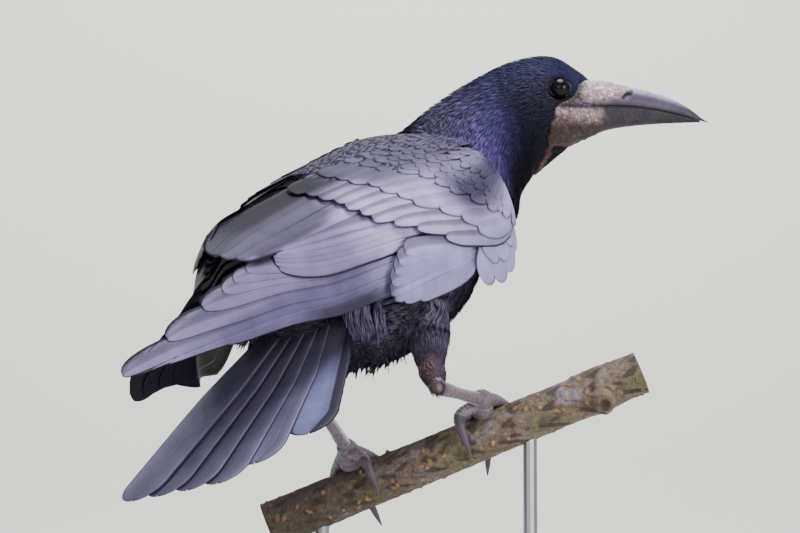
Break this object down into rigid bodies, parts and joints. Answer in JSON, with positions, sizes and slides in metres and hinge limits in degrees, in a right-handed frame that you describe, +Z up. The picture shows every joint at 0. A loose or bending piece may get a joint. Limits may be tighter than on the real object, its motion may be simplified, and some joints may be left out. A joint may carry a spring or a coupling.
{
  "type": "rook on a perch, still model",
  "caption": "Life-size still model of a rook crouched on a sloping cut branch, with its head turned, held over a flat base by a plain display stand.",
  "frame": {"origin": "middle of the base's underside", "axes": "+Z up; the bird's body points along -Y and its right wing towards -X; the branch rises towards -X"},
  "size_m": [0.2091, 0.3405, 0.4151],
  "materials": {
    "body_plumage": "dark plumage with a purple and blue gloss",
    "wing_plumage": "satin flight feathers, lavender grey in the light",
    "tail_plumage": "slate tail feathers with a violet gloss",
    "bill_horn": "worn grey horn",
    "eye": "wet, near black",
    "leg_scales": "dull scaly skin",
    "claw_horn": "dark horn",
    "bark": "grey-brown bark with pale lenticels",
    "stand_wood": "dark oiled wood",
    "stand_steel": "brushed steel rod"
  },
  "bodies": {
    "root": {"bill_lower": "bill_horn", "bill_upper": "bill_horn", "claw_left_hallux": "claw_horn", "claw_left_inner": "claw_horn", "claw_left_middle": "claw_horn", "claw_left_outer": "claw_horn", "claw_right_hallux": "claw_horn", "claw_right_inner": "claw_horn", "claw_right_middle": "claw_horn", "claw_right_outer": "claw_horn", "eye_left": "eye", "eye_right": "eye", "foot_left": "leg_scales", "foot_right": "leg_scales", "head": "body_plumage", "neck": "body_plumage", "perch": "bark", "stand_base": "stand_wood", "stand_rod_1": "stand_steel", "stand_rod_2": "stand_steel", "tail_feather_left_1": "tail_plumage", "tail_feather_left_2": "tail_plumage", "tail_feather_left_3": "tail_plumage", "tail_feather_left_4": "tail_plumage", "tail_feather_left_5": "tail_plumage", "tail_feather_left_6": "tail_plumage", "tail_feather_right_1": "tail_plumage", "tail_feather_right_2": "tail_plumage", "tail_feather_right_3": "tail_plumage", "tail_feather_right_4": "tail_plumage", "tail_feather_right_5": "tail_plumage", "tail_feather_right_6": "tail_plumage", "tarsus_left": "leg_scales", "tarsus_right": "leg_scales", "thigh_left": "body_plumage", "thigh_right": "body_plumage", "trunk": "body_plumage", "wing_left_bend": "wing_plumage", "wing_left_coverts": "wing_plumage", "wing_left_primaries": "wing_plumage", "wing_left_secondaries": "wing_plumage", "wing_left_tertials": "wing_plumage", "wing_right_bend": "wing_plumage", "wing_right_coverts": "wing_plumage", "wing_right_primaries": "wing_plumage", "wing_right_secondaries": "wing_plumage", "wing_right_tertials": "wing_plumage"}
  },
  "joints": []
}
